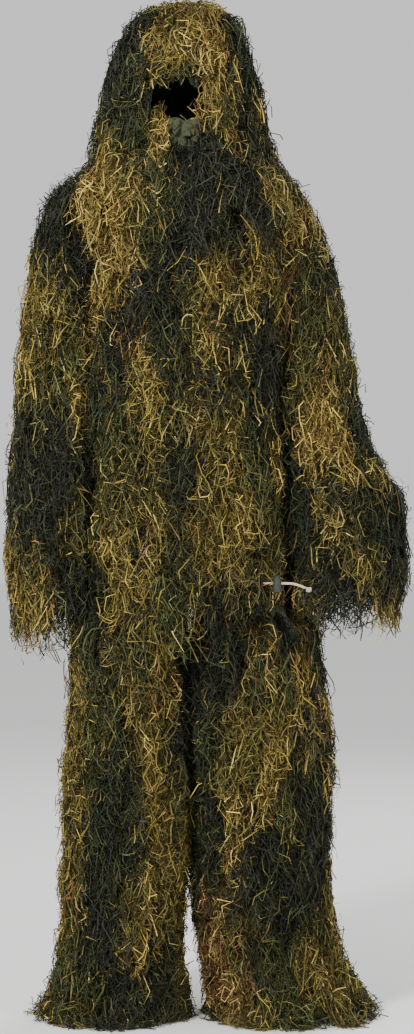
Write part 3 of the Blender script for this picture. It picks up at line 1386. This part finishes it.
@dataclass
class Camera:
    """The camera, level with the suit's middle."""

    distance: float = 4.6
    height: float = 901.0
    x: float = 0.031
    tall: float = 1.872

    def build(self) -> None:
        """Makes the camera and the scene's own."""
        data = bpy.data.cameras.new("camera")
        data.sensor_width = 36.0
        data.lens = 36.0 * self.distance / self.tall
        data.clip_end = 200.0
        made = bpy.data.objects.new("camera", data)
        made.location = (self.x, -self.distance - 0.02, height_m(self.height))
        made.rotation_euler = (math.radians(90), 0, 0)
        bpy.context.scene.collection.objects.link(made)
        bpy.context.scene.camera = made


@dataclass
class Studio:
    """A plain pale floor and soft lights."""

    floor_colour: tuple[float, float, float] = (0.82, 0.82, 0.81)
    world: float = 0.85

    def build(self) -> None:
        """Makes the floor, the sky and the lights."""
        finish = HardFinish("studio_floor", colour=self.floor_colour, worn=(0.80, 0.80, 0.79), roughness=0.75)
        corners = [(-30, -30), (30, -30), (30, 30), (-30, 30)]
        height = height_m(0)
        points = np.array([(*corner, height) for corner in corners], float)
        floor = mesh_object("studio_floor", points, [(0, 1, 2, 3)], finish)
        world = bpy.data.worlds.new("studio")
        world.use_nodes = True
        world.node_tree.nodes["Background"].inputs[0].default_value = (1, 1, 1, 1)
        world.node_tree.nodes["Background"].inputs[1].default_value = self.world
        bpy.context.scene.world = world
        self.lamp("key", (-2.2, -3.6, 2.0), (0, 0, -0.4), 0.9, 300)
        self.lamp("fill", (2.6, -3.2, 0.4), (0, 0, -0.6), 2.4, 70)
        self.lamp("rim", (1.6, 3.2, 1.8), (0, 0, -0.4), 2.0, 90)

    def lamp(self, name: str, place: tuple, target: tuple, size: float, power: float) -> None:
        """One soft lamp. Args: name; place and target in metres; size in metres; power in watts."""
        data = bpy.data.lights.new(name, "AREA")
        data.shape, data.size, data.energy = "DISK", size, power
        made = bpy.data.objects.new(name, data)
        made.location = place
        made.rotation_euler = (Vector(target) - Vector(place)).to_track_quat("-Z", "Y").to_euler()
        bpy.context.scene.collection.objects.link(made)


@dataclass
class HemDrawcord:
    """The drawcord's free end: out of its eyelet, along the hem, through its lock and down to its knot."""

    radius: float = 0.00225

    def route(self) -> Array:
        """The cord's line, from just inside its eyelet to its knot, as closely spaced points in metres."""
        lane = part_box("cord_lock_body")
        lane_y = (lane[0][1] + lane[1][1]) / 2
        eyelet = [(a + b) / 2 for a, b in zip(*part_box("drawcord_eyelet"))]
        outward = Vector((0.243, -0.970, 0.0)).normalized()
        start = Vector(eyelet) - outward * 0.0030
        z = eyelet[2]
        points = [start, start + outward * 0.0055, start + outward * 0.0105]
        for x, dy, dz in (
            (70, 6.2, -0.4), (80, 1.4, -0.6), (94, 0, -0.8), (110, 0, -0.8), (130, 0, -0.8), (154, 0, -0.8),
            (174, 0, -0.8), (184, 0.6, -1.8), (194, 2.2, -4.8), (204, 4, -9),
        ):
            points.append(Vector((x * MM, lane_y + dy * MM, z + dz * MM)))
        fine: list[Vector] = []
        for n in range(len(points) - 1):
            before, here = points[max(0, n - 1)], points[n]
            there, after = points[n + 1], points[min(len(points) - 1, n + 2)]
            for step in range(4):
                t = step / 4
                bow = (2 * before - 5 * here + 4 * there - after) * t**2
                twist = (3 * here - before - 3 * there + after) * t**3
                fine.append(0.5 * (2 * here + (there - before) * t + bow + twist))
        fine.append(points[-1])
        return np.array([tuple(p) for p in fine])

    def build(self) -> None:
        """Makes the cord and dresses its knot."""
        line = self.route()
        data = bpy.data.curves.new("hem_drawcord_free_end", "CURVE")
        data.dimensions = "3D"
        data.bevel_depth = self.radius
        data.bevel_resolution = 3
        data.use_fill_caps = True
        spline = data.splines.new("POLY")
        spline.points.add(len(line) - 1)
        for point, place in zip(spline.points, line):
            point.co = (*place, 1)
        data.materials.append(CORD.material())
        made = bpy.data.objects.new("hem_drawcord_free_end", data)
        bpy.context.scene.collection.objects.link(made)
        ride(made, "jacket", "drawcord", "hem_drawcord_end")
        knot = self.knot(line)

    def knot(self, line: Array) -> bpy.types.Object:
        """The knot on the cord's end: one strand wound through itself, from a trefoil's line."""
        low, high = (np.array(c, float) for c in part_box("drawcord_knot"))
        centre, half = (low + high) / 2, (high - low) / 2
        turns = np.linspace(0, 2 * math.pi, 72, endpoint=False)
        first = np.sin(turns) + 2 * np.sin(2 * turns)
        second = np.cos(turns) - 2 * np.cos(2 * turns)
        path = np.stack([first, second, -np.sin(3 * turns)], 1) / np.array([3.0, 3.0, 1.4])
        core = 0.0020
        path = centre + path[:, [2, 0, 1]] * (half - core)
        data = bpy.data.curves.new("knot_line", "CURVE")
        data.dimensions, data.bevel_depth, data.bevel_resolution = "3D", core, 3
        spline = data.splines.new("POLY")
        spline.points.add(len(path) - 1)
        for point, place in zip(spline.points, path):
            point.co = (*place, 1)
        spline.use_cyclic_u = True
        held = bpy.data.objects.new("knot_line", data)
        bpy.context.scene.collection.objects.link(held)
        graph = bpy.context.evaluated_depsgraph_get()
        mesh = bpy.data.meshes.new_from_object(held.evaluated_get(graph))
        bpy.data.objects.remove(held)
        mesh.materials.clear()
        mesh.materials.append(CORD.material())
        mesh.polygons.foreach_set("use_smooth", [True] * len(mesh.polygons))
        made = bpy.data.objects.new("drawcord_stopper_knot", mesh)
        bpy.context.scene.collection.objects.link(made)
        return ride(made, "jacket", "drawcord", "drawcord_knot")


@dataclass
class Hood:
    """The hood, its cape and the chin panel."""

    tree: ThreadTree

    def build(self) -> None:
        """Sews the hood and cape, and cuts the chin panel."""
        hood = HoodPanel(
            "hood", HOOD_ROOTS, HOOD_PILE, 1561.0, 1820.0, start=-math.pi / 2, stop=1.5 * math.pi,
            length=(0.10, 0.165), row_gap=36.0, tuft_gap=0.032, seed=11, lean=0.2, tuck=0.002,
            sizes=ThreadSizes(threads=40, spread=0.022, lift=0.014),
        )
        pile, cloth = hood.sew(self.tree), replace(hood, skin=HOOD_SKIN, high=1790.0).cloth()
        ride(pile, "hood", "threads", "hood_threads")
        rim = RimPanel(
            "face_rim", HOOD_ROOTS, HOOD_PILE, 1566.0, 1694.0, seed=14, lean=0.10,
            sizes=ThreadSizes(threads=30, spread=0.012, lift=0.010, curl=0.006, wander=0.014),
        ).sew(self.tree)
        ride(rim, "hood", "threads")
        crown = CrownPanel(
            "hood_crown", HOOD_ROOTS, HOOD_PILE, 1790.0, 1829.0, length=(0.10, 0.15), seed=16,
            sizes=ThreadSizes(threads=34, spread=0.020, lift=0.008),
        ).sew(self.tree)
        ride(crown, "hood", "threads")
        ride(cloth, "hood", "net", "hood_net")
        cape = ShaggyPanel(
            "hood_cape", CAPE_ROOTS, CAPE_PILE, 1524.0, 1560.0, length=(0.10, 0.20), row_gap=17.0,
            tuft_gap=0.029, seed=12, sizes=ThreadSizes(threads=46, spread=0.026),
        )
        pile, cloth = cape.sew(self.tree), replace(cape, skin=CAPE_SKIN, low=1521.0, high=1548.0).cloth()
        ride(pile, Bend("hood_cape", "jacket", 1515, 1390), "threads", "hood_cape_threads")
        beard = BeardPanel(
            "chin_curtain", BEARD_SKIN, BEARD_PILE, 1535.0, 1592.0, start=-math.pi / 2 - 0.62,
            stop=-math.pi / 2 + 0.62, length=(0.13, 0.22), row_gap=13.0, tuft_gap=0.022, seed=15, lean=0.06,
            sizes=ThreadSizes(threads=32, spread=0.016, lift=0.012, wander=0.02),
        ).sew(self.tree)
        ride(beard, Bend("hood_cape", "jacket", 1515, 1390), "threads")
        ride(cloth, "hood_cape", "net", "hood_cape_net")
        self.chin_panel()

    def chin_panel(self) -> None:
        """The leaf-print panel over the chin: a curved cloth with a ragged top, covered with cut leaves."""
        low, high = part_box("chin_panel")
        rows, columns, radius = 26, 30, 0.1165
        grid = np.empty((rows, columns, 3))
        for r in range(rows):
            share = r / (rows - 1)
            half = 0.034 + (0.0465 - 0.034) * min(1, share / 0.8)
            if share > 0.84:
                half *= 1 - 0.3 * ((share - 0.84) / 0.16) ** 2
            for c in range(columns):
                across = (2 * c / (columns - 1) - 1) * half
                wide_fold = 0.0010 * math.sin(60 * across + 9 * share)
                ripple = wide_fold + 0.0008 * math.sin(140 * across + 22 * share)
                bow = (radius - 0.004 * share) + ripple
                ragged = 0.0105 + 0.0022 * math.sin(230 * across) + 0.0018 * math.sin(97 * across + 1)
                z = low[2] + (high[2] - low[2]) * share - ragged * share**4
                grid[r, c] = (HOOD_X * MM + across, -math.sqrt(bow**2 - across**2), z)
        cloth = walled("chin_cloth", grid, 0.0011, False, CHIN_CLOTH)
        ride(cloth, "hood_cape", "leaf_cloth", "chin_panel")
        leaves = self.chin_leaves(grid)
        ride(leaves, "hood_cape", "leaf_cloth")

    def chin_leaves(self, grid: Array) -> bpy.types.Object:
        """Leaf-shaped tongues cut from the same cloth, which hang on the panel in staggered rows."""
        rng = np.random.default_rng(21)
        vertices: list[tuple[float, ...]] = []
        faces: list[tuple[int, ...]] = []
        rows, columns = grid.shape[:2]
        for row in range(6):
            for place in range(6):
                r = min(rows - 1, int(5 + row * 4 + rng.integers(-1, 2)))
                c = int(np.clip(2 + (place + 0.5 * (row % 2)) * 4.9 + rng.integers(-1, 2), 0, columns - 1))
                root = grid[r, c] + np.array([0, -0.0012, 0])
                long, wide = rng.uniform(0.018, 0.028), rng.uniform(0.010, 0.016)
                turn, curl = rng.normal(0, 0.6), rng.uniform(0.005, 0.011)
                first = len(vertices)
                steps = 7
                for n in range(steps):
                    t = n / (steps - 1)
                    notches = 1 + 0.18 * math.sin(9 * t + row)
                    half = wide / 2 * math.sin(math.pi * (0.12 + 0.84 * t)) * notches
                    for face_side, way in ((0, -1), (0, 0), (0, 1), (1, -1), (1, 0), (1, 1)):
                        x = way * half * math.cos(turn) + long * t * math.sin(turn)
                        z = -long * t * math.cos(turn) + way * half * math.sin(turn)
                        y = -curl * t**1.5 - 0.0012 * abs(way) * math.sin(3 * t) - 0.0005 * (1 - face_side)
                        vertices.append((root[0] + x, root[1] + y, root[2] + z))
                for n in range(steps - 1):
                    a, b = first + 6 * n, first + 6 * (n + 1)
                    faces += [(a, a + 1, b + 1, b), (a + 1, a + 2, b + 2, b + 1)]
                    faces += [(a + 3, b + 3, b + 4, a + 4), (a + 4, b + 4, b + 5, a + 5)]
                    faces += [(a, b, b + 3, a + 3), (a + 2, a + 5, b + 5, b + 2)]
                end = first + 6 * (steps - 1)
                for k in (0, 1):
                    faces.append((first + k, first + k + 3, first + k + 4, first + k + 1))
                for k in (0, 1):
                    faces.append((end + k, end + k + 1, end + k + 4, end + k + 3))
        made = mesh_object("chin_leaves", np.array(vertices), faces, CHIN_CLOTH)
        work = bmesh.new()
        work.from_mesh(made.data)
        bmesh.ops.recalc_face_normals(work, faces=work.faces)
        work.to_mesh(made.data)
        work.free()
        return made


def dress_panel(
    tree: ThreadTree,
    panel: ShaggyPanel,
    body: str,
    edges: tuple[float, float],
    follows: Bend | None = None,
    folds: float = 0.0028,
) -> None:
    """Sews a panel's threads, cuts its cloth and says what both stand for.

    Args:
        tree: the tree that spins the threads.
        panel: the panel.
        body: the body that the cloth moves with.
        edges: the cloth's lower and upper edge in millimetres above the floor.
        follows: the joint that the threads follow, or None where they move with the cloth.
        folds: the depth of the cloth's folds in metres.
    """
    pile = panel.sew(tree)
    ride(pile, follows or body, "threads", f"{panel.name}_threads")
    cloth = replace(panel, low=edges[0], high=edges[1]).cloth(folds=folds)
    ride(cloth, body, "net", f"{panel.name}_net")


@dataclass
class Jacket:
    """The jacket's body: a back and two fronts."""

    tree: ThreadTree
    split: float = 0.085

    def build(self) -> None:
        """Sews the three panels and their shoulder tufts."""
        panels = (
            ("jacket_back", self.split, math.pi - self.split, 31, (0.44, 0.78)),
            ("jacket_front_left", -math.pi / 2, self.split, 32, (0.25, 0.78)),
            ("jacket_front_right", math.pi - self.split, 1.5 * math.pi, 33, (0.25, 0.78)),
        )
        for name, start, stop, seed, flat in panels:
            panel = ClearPanel(
                name, JACKET_SKIN, JACKET_PILE, 790.0, 1500.0, start=start, stop=stop, seed=seed,
                length=(0.12, 0.20), row_gap=44.0,
            )
            dress_panel(self.tree, panel, "jacket", (777.0, 1507.0))


@dataclass
class Sleeve:
    """One sleeve: its upper and lower part, from the shoulder to the cuff."""

    tree: ThreadTree
    side: int

    def build(self) -> None:
        """Sews both parts; the upper part's threads follow the elbow."""
        word = "left" if self.side > 0 else "right"
        pile = SLEEVE_PILE_LEFT if self.side > 0 else SLEEVE_PILE_RIGHT
        skin = skin_under(pile, self.side, 9, 20, 18)
        wide_enough = [level for level in skin.levels if level[2] > level[1] and level[4] > level[3] + 20]
        skin = Outline(tuple(wide_enough))
        upper, lower = f"{word}_upper_sleeve", f"{word}_lower_sleeve"
        seed = 40 if self.side > 0 else 50
        crown = skin.levels[-1][0]
        sizes = ThreadSizes(threads=44)
        top = ShaggyPanel(
            upper, skin, pile, 1130.0, 1496.0, length=(0.12, 0.20), row_gap=42.0, seed=seed + 1, sizes=sizes,
        )
        elbow = Bend(upper, lower, 1185, 1075, 0.23 * self.side)
        dress_panel(self.tree, top, upper, (1128.0, crown), elbow)
        arm = ShaggyPanel(
            lower, skin, pile, 806.0, 1126.0, length=(0.12, 0.17) if self.side > 0 else (0.13, 0.21),
            row_gap=40.0, seed=seed + 2, sizes=replace(sizes, threads=46),
        )
        dress_panel(self.tree, arm, lower, (812.0, 1132.0))


@dataclass
class Leg:
    """One trouser leg, from the hip to the hem."""

    tree: ThreadTree
    side: int

    def build(self) -> None:
        """Sews both parts; the upper part's threads follow the knee."""
        word = "left" if self.side > 0 else "right"
        pile = LEG_PILE_LEFT if self.side > 0 else LEG_PILE_RIGHT
        skin = skin_under(pile, self.side, 9, 26, 22)
        upper, lower = f"{word}_upper_leg", f"{word}_lower_leg"
        seed = 60 if self.side > 0 else 70
        common = {"length": (0.12, 0.20), "sizes": ThreadSizes(threads=38)}
        thigh = ShaggyPanel(upper, skin, pile, 486.0, 752.0, row_gap=44.0, seed=seed + 1, **common)
        knee = Bend(upper, lower, 540, 420, 0.12 * self.side)
        dress_panel(self.tree, thigh, upper, (478.0, 757.0), knee)
        shin = ShaggyPanel(lower, skin, pile, 40.0, 480.0, row_gap=46.0, seed=seed + 2, **common)
        dress_panel(self.tree, shin, lower, (32.0, 482.0))


@dataclass
class Seat:
    """The trousers' seat and waist, which the jacket covers."""

    tree: ThreadTree

    def build(self) -> None:
        """Sews the seat, with short threads that fit under the jacket."""
        skin = Outline(((640, -150, 139, -112, 120, 2.4), (1020, -150, 139, -112, 120, 2.4)))
        pile = Outline(((640, -152, 141, -118, 125, 2.4), (1020, -152, 141, -118, 125, 2.4)))
        seat = ShaggyPanel(
            "seat", skin, pile, 775.0, 1005.0, length=(0.07, 0.11), row_gap=60.0, tuft_gap=0.045, seed=81,
            sizes=ThreadSizes(threads=22, lift=0.002, curl=0.003, wander=0.004),
        )
        dress_panel(
            self.tree, seat, "trousers", (761.0, 1018.0), folds=0.0012
        )


@dataclass
class Trim:
    """The carried-over pieces: closure, casing, elastics, cord lock."""

    finishes: tuple[tuple[Finish, tuple[str, ...]], ...] = (
        (TAPE, ("collar", "hood_neckband", "outer_placket", "under_placket", "hem_casing")),
        (ELASTIC, ("face_elastic", "left_cuff_elastic", "right_cuff_elastic", "waist_elastic",
                   "left_ankle_elastic", "right_ankle_elastic")),
        (SNAP, ("drawcord_eyelet", *(f"snap_{part}_{n}" for part in ("cap", "stud") for n in range(1, 6)))),
        (CORD, ("hem_drawcord",)),
        (LOCK, ("cord_lock_body", "cord_lock_plunger")),
        (STEEL, ("cord_lock_spring",)),
    )

    def dress(self) -> None:
        """Gives each carried-over piece its material."""
        for finish, names in self.finishes:
            for name in names:
                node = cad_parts[name]
                for slot in node.material_slots:
                    slot.material = finish.material()


def main() -> None:
    """Builds the camera and cord first, then each sub-assembly in order."""
    logging.basicConfig(level=logging.INFO, format="%(message)s")
    Camera().build()
    HemDrawcord().build()
    Studio().build()
    tree = ThreadTree()
    Hood(tree).build()
    Jacket(tree).build()
    for side in (1, -1):
        Sleeve(tree, side).build()
    Seat(tree).build()
    for side in (1, -1):
        Leg(tree, side).build()
    Trim().dress()


if __name__ == "__main__":
    main()
